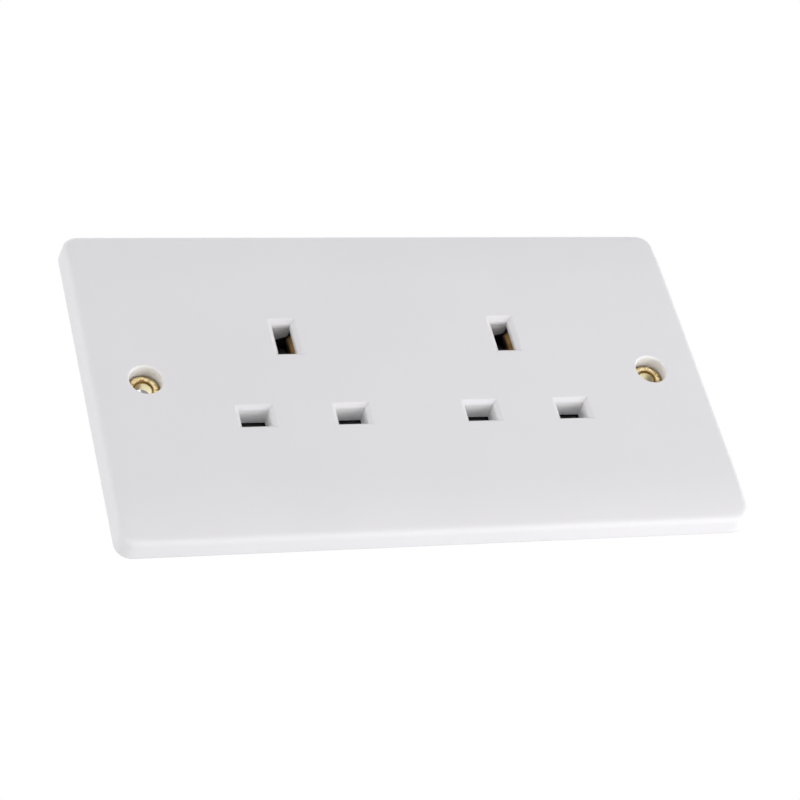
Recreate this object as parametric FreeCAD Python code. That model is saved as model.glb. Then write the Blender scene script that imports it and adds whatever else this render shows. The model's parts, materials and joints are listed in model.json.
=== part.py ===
import FreeCAD, Part
import math
import os

# Twin socket outlet, in millimetres.
# X runs to the right, Z up, and Y into the wall. The wall plane is y = 0 and the front
# face lies at y = -PLATE_T. The origin is midway between the two fixing holes.

# Front plate
PLATE_H = 86.0
PLATE_MARGIN = 12.7
PLATE_T = 6.0
PLATE_CORNER_R = 3.8
PLATE_DRAFT = 0.4
EDGE_R = 1.2
FACE_ROLL = 14.0
ROLL_R = 75.0
SKIN_T = 2.25
RIM_T = 2.4
RIB_T = 1.2
RIB_SET_BACK = 1.3

# Pin pattern, one on each side of the middle
OUTLET_X = 26.4
PIN_PITCH_X = 22.23
PIN_PITCH_Z = 22.23
PATTERN_Z = 0.3
PIN_LN_LENGTH = 17.7
PIN_E_LENGTH = 22.73

# Apertures and the collars behind the lower four
LN_W = 7.0
LN_H = 4.55
EARTH_W = 4.45
EARTH_H = 8.5
LN_BEVEL = (0.85, 0.9)
EARTH_BEVEL = (1.05, 1.0)
COLLAR_DEPTH = 5.5
COLLAR_WALL = 1.0

# Fixing holes and their eyelets
FIXING_TO_BASE = 5.8
COUNTERBORE_R = 3.8
COUNTERBORE_LIP = 0.25
COUNTERBORE_DEPTH = 3.9
FIXING_BOSS_WALL = 1.6
EYELET_BORE_R = 1.9
EYELET_SHEET = 0.4
EYELET_ROLL_R = 0.92
EYELET_ROLL_FLATS = 5
EYELET_FLANGE_R = 4.6
EYELET_CLEARANCE = 0.05

# Rear base
BASE_END_ROOM = 8.985
BASE_HEAD_ROOM = 1.885
BASE_DRAFT = 0.5
BASE_CORNER_R = 4.0
BASE_EDGE = 0.8
BASE_WALL = 2.3
BASE_FLOOR_T = 2.0
LOCATING_GAP = 0.15

# Wells around the jaws
WELL_WALL = 1.2
LN_WELL_HALF_W = 4.5
LN_WELL_HALF_H = 3.9
LN_WELL_END_WALL = 1.0
EARTH_WELL_HALF_W = 4.8
EARTH_WELL_DROP = 4.6
EARTH_ROOF_GAP = 0.55
EARTH_ROOF_DEPTH = 3.6
WELL_FRONT_GAP = 0.3

# Shutters
SHUTTER_T = 2.0
SHUTTER_GAP = 0.3
SHUTTER_TRAVEL = 5.8
SHUTTER_OVERLAP = 1.05
SHUTTER_CORNER_R = 0.7
STEM_W = 9.2
NOSE_W = 2.4
NOSE_RUN = 3.6
NOSE_TOP_T = 1.2
NOSE_MARGIN = 0.25
FOOT_W = 5.0
FOOT_H = 2.3
FOOT_DEPTH = 4.0

# Shutter springs, each a strip folded like a hairpin
SPRING_T = 0.3
SPRING_W = 3.2
SPRING_BEND_R = 0.9
SPRING_LEG_GAP = 2.0
SPRING_HALF_SPAN = 8.5
SPRING_TIP_X = 2.0
SPRING_CURL = 1.4

# Sheet brass of jaws and strips
JAW_T = 0.7
JAW_BEND_R = 0.9
JAW_GAP_LN = 2.9
JAW_GAP_EARTH = 3.1
JAW_LIP = 1.7
LN_JAW_W = 6.2
LN_JAW_ROOT = 5.4
EARTH_JAW_H = 5.8
EARTH_JAW_ROOT = 6.6
LN_TIP_GAP = 0.7
EARTH_TIP_GAP = 0.77
STRIP_T = 0.8
STRIP_H = 3.6
STRIP_GAP = 0.3
TAB_W = 6.0
EARTH_TAB_W = 5.0
EARTH_STRIP_RISE = 0.7

# Earth links from the strip to the eyelets
LINK_T = 0.5
LINK_H = 4.4
LINK_LAP = 5.0

# Terminals
BLOCK_W = 7.4
BLOCK_H = 7.8
BLOCK_DEPTH = 9.4
BLOCK_EDGE = 0.4
WIRE_R = 2.2
WIRE_BACK = 3.6
WIRE_ENTRY = 5.2
LN_BLOCK_X = 5.0
EARTH_BLOCK_X = 7.0
SCREW_R = 1.95
SCREW_CLEARANCE = 0.05
SCREW_TRAVEL = 2.8
SCREW_TIP_GAP = 0.2
SCREW_HEAD_R = 2.7
SCREW_HEAD_T = 2.0
SCREW_SLOT_W = 0.8
SCREW_SLOT_D = 0.9
ACCESS_R = 3.1
ACCESS_WALL = 1.0
POST_HALF = 1.5

# Cover screws, which hold the base to the plate
COVER_INSET = 5.7
COVER_Z = -6.0
COVER_ROOM = 0.5
COVER_BOSS_R = 3.0
COVER_BOSS_END = 7.0
COVER_PILOT_R = 1.35
COVER_SHANK_R = 1.3
COVER_HOLE_R = 1.75
COVER_SEAT_T = 2.0
COVER_RECESS_R = 3.2
COVER_SLEEVE_WALL = 0.8
COVER_HEAD_R = 2.8
COVER_HEAD_T = 2.0
COVER_REACH = 8.0

# Places that follow from the sizes above
FACE_Y = -PLATE_T
SKIN_Y = FACE_Y + SKIN_T
COLLAR_Y = FACE_Y + COLLAR_DEPTH
LN_Z = PATTERN_Z - PIN_PITCH_Z / 2
EARTH_Z = PATTERN_Z + PIN_PITCH_Z / 2
PIN_DX = PIN_PITCH_X / 2
FLOOR_Y = FACE_Y + PIN_E_LENGTH + EARTH_TIP_GAP + JAW_T + STRIP_T
BASE_DEPTH = FLOOR_Y + BASE_FLOOR_T
SHUTTER_Y = COLLAR_Y + SHUTTER_GAP
SHUTTER_BACK_Y = SHUTTER_Y + SHUTTER_T
DECK_Y = SHUTTER_BACK_Y + SHUTTER_GAP
LN_BASE_Y = FACE_Y + PIN_LN_LENGTH + LN_TIP_GAP + JAW_T
LN_STRIP_Y = LN_BASE_Y + STRIP_T
EARTH_BASE_Y = FLOOR_Y - STRIP_T
EARTH_WELL_LOW = EARTH_Z - EARTH_WELL_DROP
EARTH_WELL_TOP = EARTH_Z + EARTH_H / 2 + EARTH_ROOF_GAP
LN_WELL_OUT = LN_WELL_HALF_H + LN_WELL_END_WALL
LINE_STRIP_Z = LN_Z + LN_WELL_OUT + STRIP_GAP + STRIP_H / 2
NEUTRAL_STRIP_Z = LN_Z - LN_WELL_OUT - STRIP_GAP - STRIP_H / 2
EARTH_STRIP_Z = EARTH_WELL_TOP + WELL_WALL + EARTH_STRIP_RISE + STRIP_H / 2
LINE_BLOCK_Z = LN_Z + LN_WELL_OUT + STRIP_GAP + BLOCK_H / 2
NEUTRAL_BLOCK_Z = LN_Z - LN_WELL_OUT - STRIP_GAP - BLOCK_H / 2
BASE_INNER_X = OUTLET_X + PIN_DX + LN_WELL_HALF_W + WELL_WALL + BASE_END_ROOM
BASE_INNER_Z = EARTH_STRIP_Z + BLOCK_H / 2 + BASE_HEAD_ROOM
BASE_W = 2 * (BASE_INNER_X + BASE_WALL)
BASE_H = 2 * (BASE_INNER_Z + BASE_WALL)
FIXING_X = BASE_W / 2 + FIXING_TO_BASE
PLATE_W = 2 * (FIXING_X + PLATE_MARGIN)
BLOCK_Y = LN_BASE_Y - BLOCK_DEPTH
WIRE_Y = BLOCK_Y + WIRE_BACK
SCREW_TIP_Y = WIRE_Y + WIRE_R + SCREW_TIP_GAP
TERMINALS = {
    "line": (LN_BLOCK_X, LINE_BLOCK_Z),
    "neutral": (-LN_BLOCK_X, NEUTRAL_BLOCK_Z),
    "left_earth": (-EARTH_BLOCK_X, EARTH_STRIP_Z),
    "right_earth": (EARTH_BLOCK_X, EARTH_STRIP_Z),
}
COVER_SLEEVE_HALF = COVER_RECESS_R + COVER_SLEEVE_WALL
COVER_X = BASE_W / 2 - COVER_INSET
COVER_SCREWS = {
    "centre": (0.0, LINE_BLOCK_Z + BLOCK_H / 2 + COVER_ROOM + COVER_SLEEVE_HALF),
    "left": (-COVER_X, COVER_Z),
    "right": (COVER_X, COVER_Z),
}
SIDES = {"left": -1, "right": 1}
DEPTH_AXIS = FreeCAD.Vector(0, 1, 0)
UP_AXIS = FreeCAD.Vector(0, 0, 1)


def box(x0, x1, y0, y1, z0, z1):
    """Box between two corners."""
    return Part.makeBox(x1 - x0, y1 - y0, z1 - z0, FreeCAD.Vector(x0, y0, z0))


def rod(x, z, radius, y0, y1):
    """Round bar along the depth axis."""
    return Part.makeCylinder(radius, y1 - y0, FreeCAD.Vector(x, y0, z), DEPTH_AXIS)


def cone(x, z, r0, r1, y0, y1):
    """Round taper along the depth axis."""
    return Part.makeCone(r0, r1, y1 - y0, FreeCAD.Vector(x, y0, z), DEPTH_AXIS)


def tower(x, z, half, y0, y1):
    """Square bar along the depth axis."""
    return box(x - half, x + half, y0, y1, z - half, z + half)


def tapered_box(x, z, width, height, y0, y1, draft):
    """Box that is smaller all round by the draft at y1."""
    sizes = sorted(((y0, width / 2, height / 2), (y1, width / 2 - draft, height / 2 - draft)))
    (ya, a0, b0), (yb, a1, b1) = sizes
    return Part.makeWedge(x - a0, ya, z - b0, z - b1, x - a1, x + a0, yb, z + b0, z + b1, x + a1)


def rounded_block(width, height, radius, y0, y1, draft):
    """Tapered box with its four long corners rounded."""
    block = tapered_box(0, 0, width, height, y0, y1, draft)
    corners = []
    for edge in block.Edges:
        if edge.BoundBox.YLength > abs(y1 - y0) / 2:
            corners.append(edge)
    return block.makeFillet(radius, corners)


def rolled_prism():
    """Prism along X whose front is flat in the middle and rolls off to the plate's top and bottom."""
    high = PLATE_H / 2
    flat = high - FACE_ROLL

    def at(z):
        rolled = max(abs(z) - flat, 0.0)
        return FreeCAD.Vector(-PLATE_W / 2, FACE_Y + ROLL_R - math.sqrt(ROLL_R ** 2 - rolled ** 2), z)

    low_corner = FreeCAD.Vector(-PLATE_W / 2, 0, -high)
    high_corner = FreeCAD.Vector(-PLATE_W / 2, 0, high)
    edges = [
        Part.LineSegment(low_corner, at(-high)).toShape(),
        Part.Arc(at(-high), at(-flat - FACE_ROLL / 2), at(-flat)).toShape(),
        Part.LineSegment(at(-flat), at(flat)).toShape(),
        Part.Arc(at(flat), at(flat + FACE_ROLL / 2), at(high)).toShape(),
        Part.LineSegment(at(high), high_corner).toShape(),
        Part.LineSegment(high_corner, low_corner).toShape(),
    ]
    return Part.Face(Part.Wire(edges)).extrude(FreeCAD.Vector(PLATE_W, 0, 0))


def edges_at(shape, y):
    """Edges that lie wholly in the plane at y."""
    flat = []
    for edge in shape.Edges:
        if abs(edge.BoundBox.YMin - y) < 1e-4 and abs(edge.BoundBox.YMax - y) < 1e-4:
            flat.append(edge)
    return flat


def fuse(shapes):
    """One solid made of all the shapes, with seams between flush faces removed."""
    return shapes[0].multiFuse(shapes[1:]).removeSplitter()


def bent_line(points, radius):
    """Open wire along the points, each inner corner rounded to the radius."""
    edges = []
    here = points[0]
    for before, corner, after in zip(points, points[1:], points[2:]):
        back = (before - corner).normalize()
        ahead = (after - corner).normalize()
        half = back.getAngle(ahead) / 2
        run = radius / math.tan(half)
        to_centre = (back + ahead).normalize()
        middle = corner + to_centre * (radius / math.sin(half) - radius)
        first = corner + back * run
        last = corner + ahead * run
        edges.append(Part.LineSegment(here, first).toShape())
        edges.append(Part.Arc(first, middle, last).toShape())
        here = last
    edges.append(Part.LineSegment(here, points[-1]).toShape())
    return Part.Wire(edges)


def folded_sheet(points, radius, thickness, width):
    """Sheet metal that follows the points and is as wide as the width vector."""
    centre_line = bent_line(points, radius)
    outline = centre_line.makeOffset2D(thickness / 2, 0, False, False, False)
    return Part.Face(outline).extrude(width)


def pin_places():
    """Line and neutral pin positions, as (name, x)."""
    places = []
    for side, sign in SIDES.items():
        places.append((side + "_line", sign * OUTLET_X + PIN_DX))
        places.append((side + "_neutral", sign * OUTLET_X - PIN_DX))
    return places


def flared_hole(x, z, width, height, bevel, y_end):
    """Cutter for a pin aperture with its mouth, whose bevel is given as width and depth."""
    bevel_w, bevel_d = bevel
    bevel_end = FACE_Y + bevel_d
    mouth = tapered_box(x, z, width + 2 * bevel_w, height + 2 * bevel_w, FACE_Y, bevel_end, bevel_w)
    shaft = tapered_box(x, z, width, height, bevel_end, y_end, 0.0)
    return mouth.fuse(shaft)


def plate_ribs(sign):
    """Ribs and locating walls on one half of the plate's back."""
    rib_end = -RIB_SET_BACK
    rib_top = PLATE_H / 2 - RIM_T
    rib_side = PLATE_W / 2 - RIM_T
    x = sign * FIXING_X
    ribs = [box(x - RIB_T / 2, x + RIB_T / 2, SKIN_Y, rib_end, -rib_top, rib_top)]
    near, far = sorted((x, sign * rib_side))
    ribs.append(box(near, far, SKIN_Y, rib_end, -RIB_T / 2, RIB_T / 2))
    wall_low = BASE_H / 2 + LOCATING_GAP
    left, right = sorted((0.0, sign * BASE_W / 2))
    x = sign * OUTLET_X
    for up in SIDES.values():
        z0, z1 = sorted((up * wall_low, up * (wall_low + RIB_T)))
        ribs.append(box(left, right, SKIN_Y, rib_end, z0, z1))
        z0, z1 = sorted((up * wall_low, up * rib_top))
        ribs.append(box(x - RIB_T / 2, x + RIB_T / 2, SKIN_Y, rib_end, z0, z1))
    return ribs


def front_plate():
    """The white front moulding, hollow at the back."""
    plate = rounded_block(PLATE_W, PLATE_H, PLATE_CORNER_R, 0.0, FACE_Y, PLATE_DRAFT)
    plate = plate.common(rolled_prism())
    rim = []
    for edge in plate.Edges:
        if edge.BoundBox.YMax < FACE_Y / 2 and edge.Length < PLATE_W - PLATE_CORNER_R:
            rim.append(edge)
    plate = plate.makeFillet(EDGE_R, rim)
    inner_w = PLATE_W - 2 * RIM_T
    inner_h = PLATE_H - 2 * RIM_T
    hollow = rounded_block(inner_w, inner_h, PLATE_CORNER_R - RIM_T, 0.0, SKIN_Y, PLATE_DRAFT)
    inside = [plate.cut(hollow)]
    for name, x in pin_places():
        collar_w = LN_W + 2 * COLLAR_WALL
        collar_h = LN_H + 2 * COLLAR_WALL
        inside.append(tapered_box(x, LN_Z, collar_w, collar_h, SKIN_Y, COLLAR_Y, 0.0))
    boss_r = COUNTERBORE_R + FIXING_BOSS_WALL
    boss_end = -EYELET_SHEET - LINK_T
    for sign in SIDES.values():
        inside.append(rod(sign * FIXING_X, 0.0, boss_r, SKIN_Y, boss_end))
        inside.extend(plate_ribs(sign))
    for x, z in COVER_SCREWS.values():
        inside.append(rod(x, z, COVER_BOSS_R, SKIN_Y, COVER_BOSS_END))
    plate = fuse(inside)
    cuts = []
    for name, x in pin_places():
        cuts.append(flared_hole(x, LN_Z, LN_W, LN_H, LN_BEVEL, COLLAR_Y))
    floor = FACE_Y + COUNTERBORE_DEPTH
    lip_r = COUNTERBORE_R + COUNTERBORE_LIP
    hole_r = EYELET_BORE_R + EYELET_SHEET + EYELET_CLEARANCE
    for sign in SIDES.values():
        cuts.append(flared_hole(sign * OUTLET_X, EARTH_Z, EARTH_W, EARTH_H, EARTH_BEVEL, SKIN_Y))
        x = sign * FIXING_X
        cuts.append(rod(x, 0.0, COUNTERBORE_R, FACE_Y, floor))
        cuts.append(cone(x, 0.0, lip_r, COUNTERBORE_R, FACE_Y, FACE_Y + COUNTERBORE_LIP))
        cuts.append(rod(x, 0.0, hole_r, floor, boss_end))
    for x, z in COVER_SCREWS.values():
        cuts.append(rod(x, z, COVER_PILOT_R, COVER_BOSS_END - COVER_REACH - COVER_ROOM, COVER_BOSS_END))
    return plate.cut(cuts)


def eyelet(x):
    """Brass eyelet: rolled rim in front, barrel, flat flange behind."""
    floor = FACE_Y + COUNTERBORE_DEPTH
    barrel = EYELET_BORE_R + EYELET_SHEET
    crown = EYELET_BORE_R + EYELET_ROLL_R
    profile = [(EYELET_BORE_R, 0.0)]
    for step in range(EYELET_ROLL_FLATS + 1):
        angle = math.pi * step / EYELET_ROLL_FLATS
        profile.append((crown - EYELET_ROLL_R * math.cos(angle), floor - EYELET_ROLL_R * math.sin(angle)))
    flange_y = -EYELET_SHEET
    profile += [(barrel, floor), (barrel, flange_y), (EYELET_FLANGE_R, flange_y), (EYELET_FLANGE_R, 0.0)]
    outline = [FreeCAD.Vector(x + radius, y, 0) for radius, y in profile + profile[:1]]
    return Part.Face(Part.makePolygon(outline)).revolve(FreeCAD.Vector(x, 0, 0), DEPTH_AXIS, 360)


def ln_well(x):
    """Walls around one line or neutral jaw, with the shutter's rail on the outer side."""
    half_w = LN_WELL_HALF_W + WELL_WALL
    outer = box(x - half_w, x + half_w, DECK_Y, FLOOR_Y, LN_Z - LN_WELL_OUT, LN_Z + LN_WELL_OUT)
    inner = box(x - LN_WELL_HALF_W, x + LN_WELL_HALF_W, DECK_Y, FLOOR_Y,
                LN_Z - LN_WELL_HALF_H, LN_Z + LN_WELL_HALF_H)
    return outer.cut(inner)


def earth_well(x):
    """Walls around one earth jaw, with a short roof behind the aperture."""
    half_w = EARTH_WELL_HALF_W + WELL_WALL
    front = SKIN_Y + WELL_FRONT_GAP
    low = EARTH_WELL_LOW - WELL_WALL
    outer = box(x - half_w, x + half_w, front, FLOOR_Y, low, EARTH_WELL_TOP + WELL_WALL)
    inner = box(x - EARTH_WELL_HALF_W, x + EARTH_WELL_HALF_W, front, FLOOR_Y, EARTH_WELL_LOW, EARTH_WELL_TOP)
    open_top = box(x - EARTH_WELL_HALF_W, x + EARTH_WELL_HALF_W, front + EARTH_ROOF_DEPTH, FLOOR_Y,
                   EARTH_WELL_TOP, EARTH_WELL_TOP + WELL_WALL)
    slot = NOSE_W / 2 + SHUTTER_GAP
    nose_end = NOSE_RUN + NOSE_TOP_T + 2 * SHUTTER_GAP
    nose_slot = box(x - slot, x + slot, front, front + nose_end, low, EARTH_WELL_LOW)
    return outer.cut([inner, open_top, nose_slot])


def rear_base():
    """The rear moulding with its wells, rails, sleeves and holes."""
    shell = rounded_block(BASE_W, BASE_H, BASE_CORNER_R, SKIN_Y, BASE_DEPTH, BASE_DRAFT)
    shell = shell.makeChamfer(BASE_EDGE, edges_at(shell, BASE_DEPTH))
    hollow_r = BASE_CORNER_R - BASE_WALL
    hollow = rounded_block(2 * BASE_INNER_X, 2 * BASE_INNER_Z, hollow_r, SKIN_Y, FLOOR_Y, BASE_DRAFT)
    parts = [shell.cut(hollow)]
    rail_low = LN_Z - LN_H / 2 - SHUTTER_OVERLAP - SHUTTER_TRAVEL - SHUTTER_GAP
    for name, x in pin_places():
        parts.append(ln_well(x))
    for sign in SIDES.values():
        parts.append(earth_well(sign * OUTLET_X))
        for out in SIDES.values():
            rail = sign * OUTLET_X + out * (PIN_DX + LN_WELL_HALF_W)
            x0, x1 = sorted((rail, rail + out * WELL_WALL))
            parts.append(box(x0, x1, COLLAR_Y, BLOCK_Y - STRIP_GAP, rail_low, LN_Z + LN_WELL_OUT))
    for x, z in TERMINALS.values():
        parts.append(tower(x, z, ACCESS_R + ACCESS_WALL, LN_STRIP_Y, FLOOR_Y))
    for x, z in COVER_SCREWS.values():
        parts.append(tower(x, z, COVER_SLEEVE_HALF, COVER_BOSS_END, FLOOR_Y))
    post_x = OUTLET_X / 2
    for x, z in ((-OUTLET_X, NEUTRAL_STRIP_Z), (post_x, NEUTRAL_STRIP_Z), (OUTLET_X, LINE_STRIP_Z),
                 (-post_x / 2, LINE_STRIP_Z), (0, EARTH_STRIP_Z)):
        parts.append(tower(x, z, POST_HALF, LN_STRIP_Y, FLOOR_Y))
    base = fuse(parts)
    cuts = []
    notch = TAB_W / 2 + STRIP_GAP
    for name, x in pin_places():
        up = 1 if name.endswith("line") else -1
        z0, z1 = sorted((LN_Z + up * LN_WELL_HALF_H, LN_Z + up * LN_WELL_OUT))
        cuts.append(box(x - notch, x + notch, DECK_Y, LN_STRIP_Y, z0, z1))
    for x, z in TERMINALS.values():
        cuts.append(rod(x, z, ACCESS_R, LN_STRIP_Y, BASE_DEPTH))
        up = 1 if z > 0 else -1
        z0, z1 = sorted((up * (BASE_INNER_Z - BASE_WALL), up * BASE_H / 2))
        half = WIRE_ENTRY / 2
        cuts.append(box(x - half, x + half, WIRE_Y - half, WIRE_Y + half, z0, z1))
    for x, z in COVER_SCREWS.values():
        cuts.append(rod(x, z, COVER_HOLE_R, COVER_BOSS_END, BASE_DEPTH))
        cuts.append(rod(x, z, COVER_RECESS_R, COVER_BOSS_END + COVER_SEAT_T, BASE_DEPTH))
    for sign in SIDES.values():
        x0, x1 = sorted((sign * (BASE_INNER_X - BASE_DRAFT), sign * BASE_W / 2))
        half = LINK_H / 2 + STRIP_GAP
        link_front = -EYELET_SHEET
        cuts.append(box(x0, x1, SKIN_Y, link_front, EARTH_STRIP_Z - half, EARTH_STRIP_Z + half))
    return base.cut(cuts)


def shutter(x):
    """Sliding shutter: cross bar behind both lower apertures, stem, nose and spring foot."""
    low = LN_Z - LN_H / 2 - SHUTTER_OVERLAP
    high = LN_Z + LN_H / 2 + SHUTTER_OVERLAP
    half = PIN_DX + LN_WELL_HALF_W - SHUTTER_GAP
    stem_top = EARTH_WELL_LOW - WELL_WALL - SHUTTER_GAP
    stem_low = low - FOOT_H
    bar = box(x - half, x + half, SHUTTER_Y, SHUTTER_BACK_Y, low, high)
    stem = box(x - STEM_W / 2, x + STEM_W / 2, SHUTTER_Y, SHUTTER_BACK_Y, low, stem_top)
    foot = box(x - FOOT_W / 2, x + FOOT_W / 2, SHUTTER_Y, SHUTTER_Y + FOOT_DEPTH, stem_low, low)
    plate = fuse([bar, stem])
    corners = []
    for edge in plate.Edges:
        if edge.BoundBox.YLength > SHUTTER_T / 2:
            corners.append(edge)
    plate = plate.makeFillet(SHUTTER_CORNER_R, corners)
    nose_front = SKIN_Y + WELL_FRONT_GAP + SHUTTER_GAP
    nose_low = EARTH_Z - EARTH_H / 2 + NOSE_MARGIN
    nose_high = nose_low + SHUTTER_TRAVEL
    ramp_end = nose_front + NOSE_RUN
    profile = [
        (nose_front, stem_top - FOOT_H),
        (nose_front, nose_low),
        (ramp_end, nose_high),
        (ramp_end + NOSE_TOP_T, nose_high),
        (ramp_end + NOSE_TOP_T, stem_top - FOOT_H),
    ]
    outline = [FreeCAD.Vector(x - NOSE_W / 2, y, z) for y, z in profile + profile[:1]]
    nose = Part.Face(Part.makePolygon(outline)).extrude(FreeCAD.Vector(NOSE_W, 0, 0))
    return fuse([plate, foot, nose])


def shutter_spring(x):
    """Strip spring folded like a hairpin between the base's lower wall and the foot."""
    foot_z = LN_Z - LN_H / 2 - SHUTTER_OVERLAP - FOOT_H
    seat = -BASE_INNER_Z + BASE_DRAFT + SPRING_T / 2
    tip = foot_z - SHUTTER_GAP - SPRING_T / 2
    y = SHUTTER_Y + (FOOT_DEPTH - SPRING_W) / 2
    points = [
        FreeCAD.Vector(x + SPRING_HALF_SPAN, y, seat),
        FreeCAD.Vector(x - SPRING_HALF_SPAN, y, seat),
        FreeCAD.Vector(x - SPRING_HALF_SPAN, y, seat + SPRING_LEG_GAP),
        FreeCAD.Vector(x + SPRING_TIP_X, y, tip),
        FreeCAD.Vector(x + SPRING_TIP_X + SPRING_CURL, y, tip - SPRING_CURL),
    ]
    return folded_sheet(points, SPRING_BEND_R, SPRING_T, FreeCAD.Vector(0, SPRING_W, 0))


def jaw_outline(front, back, root, gap, across):
    """Points of a two-leaf jaw: lips at the front, a pinch behind them, a flat root."""
    pinch = gap / 2 + JAW_T / 2
    lip = pinch + JAW_LIP
    half_root = root / 2
    y_lip = front + JAW_T / 2
    y_pinch = y_lip + JAW_LIP
    y_part = y_pinch + 2 * JAW_LIP
    y_root = back - JAW_T / 2
    leaf = [(lip, y_lip), (pinch, y_pinch), (half_root, y_part), (half_root, y_root)]
    mirrored = [(-a, y) for a, y in reversed(leaf)]
    return [across(a, y) for a, y in leaf + mirrored]


def line_or_neutral_jaw(x):
    """Folded jaw with one leaf above the pin and one below."""
    start = x - LN_JAW_W / 2

    def across(a, y):
        return FreeCAD.Vector(start, y, LN_Z + a)

    points = jaw_outline(DECK_Y + SHUTTER_GAP, LN_BASE_Y, LN_JAW_ROOT, JAW_GAP_LN, across)
    return folded_sheet(points, JAW_BEND_R, JAW_T, FreeCAD.Vector(LN_JAW_W, 0, 0))


def earth_jaw(x):
    """Folded jaw with one leaf each side of the earth pin and a tab up to the strip."""
    start = EARTH_Z - EARTH_JAW_H / 2

    def across(a, y):
        return FreeCAD.Vector(x + a, y, start)

    front = SKIN_Y + WELL_FRONT_GAP
    points = jaw_outline(front, EARTH_BASE_Y, EARTH_JAW_ROOT, JAW_GAP_EARTH, across)
    jaw = folded_sheet(points, JAW_BEND_R, JAW_T, FreeCAD.Vector(0, 0, EARTH_JAW_H))
    half = EARTH_TAB_W / 2
    tab = box(x - half, x + half, EARTH_BASE_Y - JAW_T, EARTH_BASE_Y, start, EARTH_STRIP_Z + STRIP_H / 2)
    return fuse([jaw, tab])


def ln_strip(names, band_z, terminal):
    """Flat strip that joins two jaws and carries a terminal block."""
    places = dict(pin_places())
    xs = sorted(places[name] for name in names)
    half = TAB_W / 2
    low = band_z - STRIP_H / 2
    pieces = [box(xs[0] - half, xs[1] + half, LN_BASE_Y, LN_STRIP_Y, low, low + STRIP_H)]
    far_end = LN_Z + (half if band_z < LN_Z else -half)
    for x in xs:
        z0, z1 = sorted((band_z, far_end))
        pieces.append(box(x - half, x + half, LN_BASE_Y, LN_STRIP_Y, z0, z1))
    x, z = TERMINALS[terminal]
    pieces.append(tower(x, z, SCREW_HEAD_R + STRIP_T, LN_BASE_Y, LN_STRIP_Y))
    return fuse(pieces).cut(rod(x, z, SCREW_R + STRIP_GAP, LN_BASE_Y, LN_STRIP_Y))


def earth_strip():
    """Strip across both earth jaws, stepped forward in the middle to the terminals."""
    outer_y = FLOOR_Y - STRIP_T / 2
    inner_y = LN_STRIP_Y - STRIP_T / 2
    end_x = BASE_INNER_X - LINK_LAP
    step_out = OUTLET_X - EARTH_WELL_HALF_W - WELL_WALL + STRIP_T
    step_in = step_out - (outer_y - inner_y)
    low = EARTH_STRIP_Z - STRIP_H / 2
    profile = [(-end_x, outer_y), (-step_out, outer_y), (-step_in, inner_y),
               (step_in, inner_y), (step_out, outer_y), (end_x, outer_y)]
    points = [FreeCAD.Vector(x, y, low) for x, y in profile]
    pieces = [folded_sheet(points, STRIP_T, STRIP_T, FreeCAD.Vector(0, 0, STRIP_H))]
    holes = []
    for sign in SIDES.values():
        x = sign * EARTH_BLOCK_X
        pieces.append(tower(x, EARTH_STRIP_Z, SCREW_HEAD_R + STRIP_T, LN_BASE_Y, LN_STRIP_Y))
        holes.append(rod(x, EARTH_STRIP_Z, SCREW_R + STRIP_GAP, LN_BASE_Y, LN_STRIP_Y))
    return fuse(pieces).cut(holes)


def earth_link(sign):
    """Thin strap from the end of the earth strip, along the side wall, to the eyelet."""
    front_y = -EYELET_SHEET - LINK_T / 2
    wall_x = BASE_INNER_X - BASE_DRAFT - LINK_T / 2
    rear_y = EARTH_BASE_Y - LINK_T / 2
    end_x = BASE_INNER_X - 2 * LINK_LAP
    low = EARTH_STRIP_Z - LINK_H / 2
    profile = [(FIXING_X, front_y), (wall_x, front_y), (wall_x, rear_y), (end_x, rear_y)]
    points = [FreeCAD.Vector(sign * x, y, low) for x, y in profile]
    strap = folded_sheet(points, LINK_T, LINK_T, FreeCAD.Vector(0, 0, LINK_H))
    x = sign * FIXING_X
    ring = rod(x, 0.0, EYELET_FLANGE_R, -EYELET_SHEET - LINK_T, -EYELET_SHEET)
    arm = box(x - LINK_H / 2, x + LINK_H / 2, -EYELET_SHEET - LINK_T, -EYELET_SHEET, 0.0, low + LINK_H)
    hole_r = EYELET_BORE_R + EYELET_SHEET + EYELET_CLEARANCE
    barrel = rod(x, 0.0, hole_r, -EYELET_SHEET - LINK_T, -EYELET_SHEET)
    return fuse([strap, ring, arm]).cut(barrel)


def terminal(x, z):
    """Pillar block with the wire bore up and down and the screw hole from behind."""
    half = BLOCK_W / 2
    block = box(x - half, x + half, BLOCK_Y, LN_BASE_Y, z - BLOCK_H / 2, z + BLOCK_H / 2)
    rim = []
    for edge in block.Edges:
        if edge.BoundBox.YLength > BLOCK_DEPTH / 2:
            rim.append(edge)
    block = block.makeChamfer(BLOCK_EDGE, rim)
    start = FreeCAD.Vector(x, WIRE_Y, z - BLOCK_H / 2)
    wire = Part.makeCylinder(WIRE_R, BLOCK_H, start, UP_AXIS)
    thread = rod(x, z, SCREW_R + SCREW_CLEARANCE, WIRE_Y, LN_BASE_Y)
    return block.cut([wire, thread])


def terminal_screw(x, z):
    """Slotted cheese head screw, backed off from the wire."""
    head_y = LN_STRIP_Y + SCREW_TRAVEL + SCREW_TIP_GAP
    shank = rod(x, z, SCREW_R, SCREW_TIP_Y, head_y)
    head = rod(x, z, SCREW_HEAD_R, head_y, head_y + SCREW_HEAD_T)
    head_end = head_y + SCREW_HEAD_T
    slot = box(x - SCREW_HEAD_R, x + SCREW_HEAD_R, head_end - SCREW_SLOT_D, head_end,
               z - SCREW_SLOT_W / 2, z + SCREW_SLOT_W / 2)
    return fuse([shank, head]).cut(slot)


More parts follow.
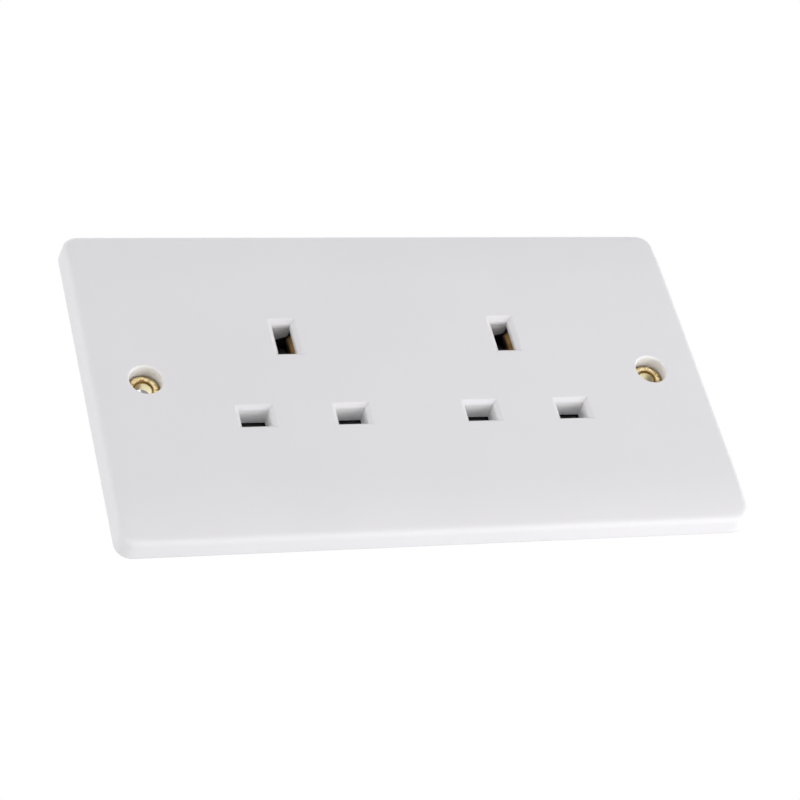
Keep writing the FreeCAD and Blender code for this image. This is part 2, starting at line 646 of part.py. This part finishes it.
def cover_screw(x, z):
    """Screw that holds the base to a boss of the plate, with a crossed recess."""
    seat = COVER_BOSS_END + COVER_SEAT_T
    top = seat + COVER_HEAD_T
    shank = rod(x, z, COVER_SHANK_R, COVER_BOSS_END - COVER_REACH, seat)
    head = rod(x, z, COVER_HEAD_R, seat, top)
    screw = fuse([shank, head])
    arm = COVER_HEAD_R / 2
    half = SCREW_SLOT_W / 2
    deep = top - COVER_HEAD_T / 2
    cross = [box(x - arm, x + arm, deep, top, z - half, z + half),
             box(x - half, x + half, deep, top, z - arm, z + arm)]
    return screw.cut(cross)


def build():
    """All pieces of the socket by name."""
    nodes = {"front_plate": front_plate(), "rear_base": rear_base()}
    for side, sign in SIDES.items():
        x = sign * OUTLET_X
        nodes[side + "_fixing_eyelet"] = eyelet(sign * FIXING_X)
        nodes[side + "_shutter"] = shutter(x)
        nodes[side + "_shutter_spring"] = shutter_spring(x)
        nodes[side + "_earth_jaw"] = earth_jaw(x)
        nodes[side + "_earth_link"] = earth_link(sign)
    for name, x in pin_places():
        nodes[name + "_jaw"] = line_or_neutral_jaw(x)
    nodes["line_strip"] = ln_strip(("left_line", "right_line"), LINE_STRIP_Z, "line")
    nodes["neutral_strip"] = ln_strip(("left_neutral", "right_neutral"), NEUTRAL_STRIP_Z, "neutral")
    nodes["earth_strip"] = earth_strip()
    for name, (x, z) in TERMINALS.items():
        nodes[name + "_terminal"] = terminal(x, z)
        nodes[name + "_screw"] = terminal_screw(x, z)
    for name, (x, z) in COVER_SCREWS.items():
        nodes[name + "_cover_screw"] = cover_screw(x, z)
    return nodes


os.makedirs("parts", exist_ok=True)
for node, solid in build().items():
    if len(solid.Solids) != 1 or not solid.isValid():
        raise ValueError(node + " is not one valid solid")
    solid.exportStep("parts/" + node + ".step")
    print(node, round(solid.Volume, 1), len(solid.Faces))
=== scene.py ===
"""Looks of the unswitched twin socket outlet: finishes, studio light and camera."""
import json
import math

import bpy
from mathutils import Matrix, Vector


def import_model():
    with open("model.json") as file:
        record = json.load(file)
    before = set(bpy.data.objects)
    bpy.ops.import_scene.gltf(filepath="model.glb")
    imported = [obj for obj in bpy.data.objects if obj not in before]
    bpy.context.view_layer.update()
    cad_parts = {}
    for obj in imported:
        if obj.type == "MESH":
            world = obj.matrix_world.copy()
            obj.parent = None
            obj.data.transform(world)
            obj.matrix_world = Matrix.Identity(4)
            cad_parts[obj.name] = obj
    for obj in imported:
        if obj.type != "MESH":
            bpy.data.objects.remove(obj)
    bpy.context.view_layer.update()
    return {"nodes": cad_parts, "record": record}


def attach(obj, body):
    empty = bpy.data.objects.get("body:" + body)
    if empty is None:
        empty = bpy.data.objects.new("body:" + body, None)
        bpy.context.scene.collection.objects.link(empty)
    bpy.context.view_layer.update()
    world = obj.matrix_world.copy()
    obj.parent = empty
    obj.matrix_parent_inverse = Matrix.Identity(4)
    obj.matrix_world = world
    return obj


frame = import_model()

MM = 0.001

# From the frame, in millimetres: how far the fixing holes lie from the middle, and their bore
FIXING = next(row["dims"] for row in frame["record"]["mounts"] if row["name"] == "box_fixing")
FIXING_X = FIXING["spacing_x_mm"] / 2
FIXING_R = FIXING["hole_r_mm"]

# Camera, as fitted to the photograph: place, turn in degrees and lens
CAMERA_PLACE = (-0.19504, -0.43680, -0.34214)
CAMERA_TURN = (126.426, 12.832, -14.661)
CAMERA_LENS = 116.578
SENSOR_WIDTH = 36.0
CLIP_START = 0.01

# Studio. Lamps by name: place, size in metres and watts
LAMPS = {
    "low_right": ((0.45, -0.17, -0.52), 0.5, 3.55),
    "left": ((-1.8, -0.30, -0.08), 1.1, 12.2),
    "top": ((0.1, -0.05, 1.0), 0.5, 2.1),
    "glint": ((0.33, -1.11, 0.30), 0.4, 1.4),
}
WHITE = (1.0, 1.0, 1.0)
WORLD_LIGHT = 0.56
WORLD_SEEN = 1.0
FLOOR_Z = -1.6
FLOOR_SIZE = 12.0
FLOOR_COLOR = (0.80, 0.80, 0.80)
FLOOR_SHADE = 0.98
FLOOR_CLOUD_MM = 400.0
FLOOR_ROUGHNESS = 0.7
FLOOR_GLOW = 0.35

# Colours, linear
WHITE_PLASTIC = (0.83, 0.82, 0.845)
# Painted light: near-white painted on the walls of the apertures and fixing holes to lighten their
# shade
PAINTED_WALL_LIGHT = (0.97, 0.965, 0.97)
DARK_PLASTIC = (0.20, 0.17, 0.165)
BLACK_PLASTIC = (0.012, 0.012, 0.012)
EYELET_BRASS = (0.97, 0.83, 0.50)
EYELET_DEEP = (0.42, 0.27, 0.10)
# Painted shade: darkens the eyelet's inner slope and its rim where it meets the plastic
EYELET_PAINTED_SHADE = (0.30, 0.19, 0.07)
# Painted reflection: pale brass inside the eyelet's bore
EYELET_PAINTED_REFLECTION = (0.99, 0.90, 0.60)
CONTACT_BRASS = (0.35, 0.215, 0.085)
CONTACT_DARK = (0.18, 0.105, 0.04)
BLOCK_BRASS = (0.66, 0.47, 0.19)
BLOCK_DARK = (0.46, 0.30, 0.11)
STEEL = (0.60, 0.60, 0.58)
STEEL_DARK = (0.42, 0.42, 0.41)
SPRING_STEEL = (0.42, 0.43, 0.45)
SPRING_DARK = (0.28, 0.29, 0.31)

# Plastics by slot: colour, roughness, then grain size, grain depth and edge radius in millimetres
PLASTICS = {
    "base_plastic": (DARK_PLASTIC, 0.42, 0.35, 0.012, 0.15),
    "shutter_plastic": (BLACK_PLASTIC, 0.35, 0.4, 0.006, 0.1),
}

# Metals by slot: bright and dark colour, roughness, scale of the drawn grain along each axis, and
# edge radius in millimetres
METALS = {
    "contact_brass": (CONTACT_BRASS, CONTACT_DARK, 0.38, (1.0, 0.15, 1.0), 0.05),
    "terminal_brass": (BLOCK_BRASS, BLOCK_DARK, 0.32, (1.0, 1.0, 0.15), 0.1),
    "plated_steel": (STEEL, STEEL_DARK, 0.34, (1.0, 0.3, 1.0), 0.08),
    "spring_steel": (SPRING_STEEL, SPRING_DARK, 0.25, (0.15, 1.0, 1.0), 0.03),
}

# Noise common to the plastics and to the metals: sizes and depths in millimetres, and how far the
# tone or the roughness strays
CLOUD_MM = 25.0
CLOUD_DETAIL = 1.0
CLOUD_SHADES = (0.994, 1.006)
GLOSS_MM = 1.5
GLOSS_STRAY = (0.96, 1.04)
PLASTIC_IOR = 1.5
TARNISH_MM = 3.0
TARNISH_DETAIL = 4.0
DRAWN_MM = 0.25
DRAWN_DEPTH = 0.01
DRAWN_STRAY = (0.8, 1.25)
BEVEL_SAMPLES = 8

# The plate's plastic
PLATE_ROUGHNESS = 0.62
PLATE_SPECULAR = 0.32
PLATE_GRAIN_MM = 0.5
PLATE_GRAIN_DEPTH = 0.003
SUBSURFACE_WEIGHT = 0.35
SUBSURFACE_RADIUS = (1.0, 0.95, 0.9)
SUBSURFACE_MM = 1.1

# Where painted light begins on the plate, as spans in millimetres from the origin along each axis,
# or from a fixing hole's axis. Walls of apertures and fixing holes are painted whiter than the
# face, as painted light in their shade.
PAINTED_WALL_LIGHT_SPANS = (("X", (53.0, 54.0)), ("Z", (26.0, 27.0)), ("Y", (4.95, 5.1)))
PAINTED_FIXING_LIGHT_SPAN = (3.85, 4.0)

# Edge shading of the plate: radii in millimetres, and the spans where the soft one begins
PLATE_EDGE = 0.2
SOFT_EDGE = 2.0
SOFT_EDGE_Z = (36.5, 37.5)
SOFT_EDGE_Y = (2.6, 3.6)

# Eyelets: spans in millimetres from the axis, then along the depth, where one finish turns into
# the next. The slope and rim spans bound painted shade, the lining span a pale painted reflection
SLOPE_PAINTED_SHADE_FADE = (FIXING_R + 0.12, FIXING_R + 0.5)
RIM_PAINTED_SHADE_FADE = (3.07, 3.69)
LINING_PAINTED_REFLECTION_FADE = (FIXING_R + 0.05, FIXING_R + 0.2)
BORE_FADE = (-2.3, -1.9)
BORE_GLOSS_FADE = (-2.3, -2.05)
CROWN_ROUGHNESS = 0.24
BORE_ROUGHNESS = 0.45
EYELET_DETAIL = 2.0
EYELET_TARNISH_MM = 0.9
EYELET_DENT_MM = 0.7
EYELET_DENT_DEPTH = 0.1
EYELET_EDGE = 0.3

# White lips behind the earth apertures, in millimetres. They lead the pin in under the well's
# roof. Each tip is slanted: its depth is given for the left (-1) and the right (1) side.
HOOD_HALF_W = 2.6
HOOD_ROOT_Y = -3.85
HOOD_TIP_Y = {-1: 1.1, 1: -0.5}
HOOD_LOW_Z = 15.68
HOOD_ROOT_T = 0.42
HOOD_TIP_T = 0.30
HOOD_CORNER_R = 0.9
HOOD_CORNER_STEPS = 6
HOOD_EDGE_R = 0.08
HOOD_EDGE_STEPS = 3

# Sockets of the Mix node when it mixes colours: factor, first, second and the result
MIX_SOCKETS = (0, 6, 7)
MIX_RESULT = 2


class Nodes:
    """A material's node tree with short calls for the nodes used here."""

    def __init__(self, name):
        self.material = bpy.data.materials.new(name)
        self.material.use_nodes = True
        self.tree = self.material.node_tree
        self.shader = self.tree.nodes["Principled BSDF"]
        self.coords = self.tree.nodes.new("ShaderNodeTexCoord").outputs["Object"]

    def add(self, kind, **inputs):
        """New node with its inputs set or linked."""
        node = self.tree.nodes.new(kind)
        for key, value in inputs.items():
            self.feed(value, node.inputs[key.replace("_", " ")])
        return node

    def feed(self, value, socket):
        """Links an output to the socket, or sets the socket's value."""
        if isinstance(value, bpy.types.NodeSocket):
            self.tree.links.new(value, socket)
        else:
            socket.default_value = value

    def surface(self, **inputs):
        """Sets or links inputs of the shader."""
        for key, value in inputs.items():
            self.feed(value, self.shader.inputs[key.replace("_", " ")])

    def noise(self, size_mm, detail=3.0, scale=None):
        """Noise whose features are about size_mm across, on coordinates that may be scaled."""
        vector = self.coords
        if scale:
            vector = self.add("ShaderNodeMapping", Vector=vector, Scale=scale).outputs["Vector"]
        node = self.add("ShaderNodeTexNoise", Vector=vector, Detail=detail,
                        Scale=1.0 / (size_mm * MM))
        return node.outputs["Fac"]

    def spread(self, value, low, high, start=0.3, end=0.7):
        """Low at start to high at end, which by default are the middle of the noise range."""
        node = self.add("ShaderNodeMapRange", Value=value, From_Min=start, From_Max=end,
                        To_Min=low, To_Max=high)
        node.interpolation_type = "SMOOTHSTEP"
        return node.outputs["Result"]

    def fade(self, value, low, high, span):
        """Soft step from low to high over the span in millimetres."""
        return self.spread(value, low, high, *(end * MM for end in span))

    def blend(self, factor, first, second):
        """Colour between two colours."""
        node = self.tree.nodes.new("ShaderNodeMix")
        node.data_type = "RGBA"
        factor_in, first_in, second_in = (node.inputs[index] for index in MIX_SOCKETS)
        self.feed(factor, factor_in)
        for value, socket in ((first, first_in), (second, second_in)):
            self.feed(value if isinstance(value, bpy.types.NodeSocket) else (*value, 1.0), socket)
        return node.outputs[MIX_RESULT]

    def vector_math(self, operation, *values):
        """Result of a vector node of the given operation."""
        node = self.tree.nodes.new("ShaderNodeVectorMath")
        node.operation = operation
        for value, socket in zip(values, node.inputs):
            self.feed(value, socket)
        return node.outputs["Value" if operation == "LENGTH" else "Vector"]

    def axes(self, vector):
        """The outputs X, Y and Z of a vector."""
        return self.add("ShaderNodeSeparateXYZ", Vector=vector).outputs

    def fixing_distance(self):
        """Distance from the nearer fixing hole's axis."""
        mirrored = self.vector_math("ABSOLUTE", self.coords)
        around = self.vector_math("SUBTRACT", mirrored, (FIXING_X * MM, 0.0, 0.0))
        return self.vector_math("LENGTH", self.vector_math("MULTIPLY", around, (1.0, 0.0, 1.0)))

    def bump(self, height, depth_mm, edge):
        """Bump of the given depth, over edges that are shaded as if rounded to the radius edge."""
        rounding = self.add("ShaderNodeBevel", Radius=edge)
        rounding.samples = BEVEL_SAMPLES
        node = self.add("ShaderNodeBump", Height=height, Distance=depth_mm * MM,
                        Normal=rounding.outputs["Normal"])
        self.surface(Normal=node.outputs["Normal"])


def shade(color, factor):
    """The colour made lighter or darker."""
    return tuple(channel * factor for channel in color)


def moulded_nodes(name, color, roughness):
    """Nodes of a moulded plastic: faint tone clouds and uneven gloss."""
    mat = Nodes(name)
    clouds = mat.spread(mat.noise(CLOUD_MM, CLOUD_DETAIL), 0.0, 1.0)
    low, high = (roughness * stray for stray in GLOSS_STRAY)
    mat.surface(Base_Color=mat.blend(clouds, *(shade(color, factor) for factor in CLOUD_SHADES)),
                Roughness=mat.spread(mat.noise(GLOSS_MM), low, high), IOR=PLASTIC_IOR)
    return mat


def moulded_plastic(name, color, roughness, grain_mm, grain_depth, edge):
    """Moulded plastic with a fine grain."""
    mat = moulded_nodes(name, color, roughness)
    mat.bump(mat.noise(grain_mm), grain_depth, edge * MM)
    return mat.material


def plate_plastic(name):
    """The plate's plastic: painted light, whiter, on its openings' walls; softer at its top and
    bottom edge.
    """
    mat = moulded_nodes(name, WHITE_PLASTIC, PLATE_ROUGHNESS)
    place = mat.axes(mat.vector_math("ABSOLUTE", mat.coords))
    plastic = mat.shader.inputs["Base Color"].links[0].from_socket
    # Painted light: the walls of the apertures and fixing holes are painted whiter than the face
    walls_with_painted_light = PAINTED_WALL_LIGHT
    for axis, span in PAINTED_WALL_LIGHT_SPANS:
        walls_with_painted_light = mat.blend(mat.fade(place[axis], 1.0, 0.0, span), plastic, walls_with_painted_light)
    painted_light_at_fixing = mat.fade(mat.fixing_distance(), 1.0, 0.0, PAINTED_FIXING_LIGHT_SPAN)
    mat.surface(Base_Color=mat.blend(painted_light_at_fixing, walls_with_painted_light, PAINTED_WALL_LIGHT),
                Specular_IOR_Level=PLATE_SPECULAR, Subsurface_Weight=SUBSURFACE_WEIGHT,
                Subsurface_Radius=SUBSURFACE_RADIUS, Subsurface_Scale=SUBSURFACE_MM * MM)
    radius = mat.fade(place["Z"], PLATE_EDGE * MM, SOFT_EDGE * MM, SOFT_EDGE_Z)
    near_front = mat.fade(place["Y"], 0.0, 1.0, SOFT_EDGE_Y)
    edge = mat.tree.nodes.new("ShaderNodeMath")
    edge.operation = "MULTIPLY_ADD"
    for value, socket in zip((radius, near_front, PLATE_EDGE * MM), edge.inputs):
        mat.feed(value, socket)
    mat.bump(mat.noise(PLATE_GRAIN_MM), PLATE_GRAIN_DEPTH, edge.outputs["Value"])
    return mat.material


def metal(name, bright, dark, roughness, grain_scale, edge):
    """Metal with a drawn grain: streaks, tarnish clouds and uneven gloss."""
    mat = Nodes(name)
    tarnish = mat.spread(mat.noise(TARNISH_MM, TARNISH_DETAIL), 0.0, 1.0)
    drawn = mat.noise(DRAWN_MM, scale=grain_scale)
    low, high = (roughness * stray for stray in DRAWN_STRAY)
    mat.surface(Base_Color=mat.blend(tarnish, dark, bright), Metallic=1.0,
                Roughness=mat.spread(drawn, low, high))
    mat.bump(drawn, DRAWN_DEPTH, edge * MM)
    return mat.material


def eyelet_brass(name):
    """Rolled brass: bright crown, painted shade on its inner slope and at the plastic, pale painted
    reflection in the bore.
    """
    mat = Nodes(name)
    radius = mat.fixing_distance()
    depth = mat.axes(mat.coords)["Y"]
    tarnish = mat.spread(mat.noise(EYELET_TARNISH_MM, EYELET_DETAIL), 0.0, 1.0)
    crown = mat.blend(tarnish, EYELET_DEEP, EYELET_BRASS)
    # Painted shade on the inner slope and on the rim where the brass meets the plastic
    crown = mat.blend(mat.fade(radius, 1.0, 0.0, SLOPE_PAINTED_SHADE_FADE), crown, EYELET_PAINTED_SHADE)
    crown = mat.blend(mat.fade(radius, 0.0, 1.0, RIM_PAINTED_SHADE_FADE), crown, EYELET_PAINTED_SHADE)
    # Painted reflection: the bore lining is painted pale
    bore = mat.blend(mat.fade(radius, 1.0, 0.0, LINING_PAINTED_REFLECTION_FADE), EYELET_BRASS, EYELET_PAINTED_REFLECTION)
    mat.surface(Base_Color=mat.blend(mat.fade(depth, 0.0, 1.0, BORE_FADE), crown, bore),
                Roughness=mat.fade(depth, CROWN_ROUGHNESS, BORE_ROUGHNESS, BORE_GLOSS_FADE),
                Metallic=1.0)
    mat.bump(mat.noise(EYELET_DENT_MM, EYELET_DETAIL), EYELET_DENT_DEPTH, EYELET_EDGE * MM)
    return mat.material


def finishes():
    """The material of each slot of the record."""
    made = {"white_plate": plate_plastic("white_plate"),
            "eyelet_brass": eyelet_brass("eyelet_brass")}
    made.update({slot: moulded_plastic(slot, *values) for slot, values in PLASTICS.items()})
    made.update({slot: metal(slot, *values) for slot, values in METALS.items()})
    return made


def dress_nodes(materials):
    """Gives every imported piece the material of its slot."""
    for row in frame["record"]["subparts"]:
        piece = frame["nodes"][row["node"]]
        piece.data.materials.clear()
        piece.data.materials.append(materials[row["material_slot"]])


def earth_aperture_x(side):
    """Middle of the side's earth aperture across the plate, in millimetres, from the record."""
    openings = {row["name"]: row["box_m"] for row in frame["record"]["physics"]["openings"]}
    low, high = openings[side + "_earth_aperture"]
    return (low[0] + high[0]) / 2 / MM


def hood_outline():
    """Outline of a lip seen from above, its tip's corners rounded."""
    outline = [(-HOOD_HALF_W, HOOD_ROOT_Y)]
    for side, start in ((-1, math.pi), (1, math.pi / 2)):
        for step in range(HOOD_CORNER_STEPS + 1):
            angle = start - math.pi / 2 * step / HOOD_CORNER_STEPS
            outline.append((side * (HOOD_HALF_W - HOOD_CORNER_R) + HOOD_CORNER_R * math.cos(angle),
                            HOOD_TIP_Y[side] - HOOD_CORNER_R + HOOD_CORNER_R * math.sin(angle)))
    return outline + [(HOOD_HALF_W, HOOD_ROOT_Y)]


def earth_hood(name, x, material):
    """Lip of the plate over the earth pin's way in, thinner towards its tip."""
    outline = hood_outline()
    count = len(outline)
    thinning = (HOOD_TIP_T - HOOD_ROOT_T) / (HOOD_TIP_Y[-1] - HOOD_ROOT_Y)
    points = [((x + u) * MM, v * MM, HOOD_LOW_Z * MM) for u, v in outline]
    points += [((x + u) * MM, v * MM,
                (HOOD_LOW_Z + HOOD_ROOT_T + thinning * (v - HOOD_ROOT_Y)) * MM) for u, v in outline]
    faces = [tuple(range(count)), tuple(reversed(range(count, 2 * count)))]
    for index in range(count):
        after = (index + 1) % count
        faces.append((after, index, count + index, count + after))
    mesh = bpy.data.meshes.new(name)
    mesh.from_pydata(points, [], faces)
    mesh.materials.append(material)
    piece = bpy.data.objects.new(name, mesh)
    bpy.context.collection.objects.link(piece)
    edges = piece.modifiers.new("edges", "BEVEL")
    edges.width = HOOD_EDGE_R * MM
    edges.segments = HOOD_EDGE_STEPS
    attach(piece, "housing")


def glow_where_seen(tree, low, high, socket):
    """Links a strength that is high where the camera, a mirror or glass looks, and low as light."""
    rays = tree.nodes.new("ShaderNodeLightPath").outputs
    seen = rays["Is Camera Ray"]
    for ray in ("Is Glossy Ray", "Is Transmission Ray"):
        either = tree.nodes.new("ShaderNodeMath")
        either.operation = "MAXIMUM"
        tree.links.new(seen, either.inputs[0])
        tree.links.new(rays[ray], either.inputs[1])
        seen = either.outputs["Value"]
    strength = tree.nodes.new("ShaderNodeMapRange")
    strength.inputs["To Min"].default_value = low
    strength.inputs["To Max"].default_value = high
    tree.links.new(seen, strength.inputs["Value"])
    tree.links.new(strength.outputs["Result"], socket)


def world():
    """White where it is seen past the object, softer as light."""
    sky = bpy.data.worlds.new("studio")
    bpy.context.scene.world = sky
    sky.use_nodes = True
    back = sky.node_tree.nodes["Background"]
    back.inputs["Color"].default_value = (*WHITE, 1.0)
    glow_where_seen(sky.node_tree, WORLD_LIGHT, WORLD_SEEN, back.inputs["Strength"])


def floor():
    """Wide pale floor well below the object, paler where it is seen."""
    bpy.ops.mesh.primitive_plane_add(size=FLOOR_SIZE, location=(0, 0, FLOOR_Z))
    plane = bpy.context.object
    plane.name = "studio_floor"
    mat = Nodes("studio_floor")
    clouds = mat.spread(mat.noise(FLOOR_CLOUD_MM), 0.0, 1.0)
    mat.surface(Base_Color=mat.blend(clouds, shade(FLOOR_COLOR, FLOOR_SHADE), FLOOR_COLOR),
                Roughness=FLOOR_ROUGHNESS, Emission_Color=(*WHITE, 1.0))
    glow_where_seen(mat.tree, 0.0, FLOOR_GLOW, mat.shader.inputs["Emission Strength"])
    plane.data.materials.append(mat.material)


def area_lamp(name, place, size, watts):
    """Square soft lamp that points at the origin."""
    data = bpy.data.lights.new(name, "AREA")
    data.size = size
    data.energy = watts
    lamp = bpy.data.objects.new(name, data)
    lamp.location = place
    lamp.rotation_euler = (-Vector(place)).to_track_quat("-Z", "Y").to_euler()
    bpy.context.collection.objects.link(lamp)


def camera():
    """Camera at the photograph's place, turn and lens."""
    data = bpy.data.cameras.new("camera")
    data.lens = CAMERA_LENS
    data.sensor_width = SENSOR_WIDTH
    data.clip_start = CLIP_START
    seat = bpy.data.objects.new("camera", data)
    seat.location = CAMERA_PLACE
    seat.rotation_euler = [math.radians(angle) for angle in CAMERA_TURN]
    bpy.context.collection.objects.link(seat)
    bpy.context.scene.camera = seat


slots = finishes()
dress_nodes(slots)
for side_name in ("left", "right"):
    earth_hood(side_name + "_earth_hood", earth_aperture_x(side_name), slots["white_plate"])
world()
floor()
for lamp_name, values in LAMPS.items():
    area_lamp(lamp_name, *values)
camera()
bpy.context.scene.view_settings.view_transform = "Standard"
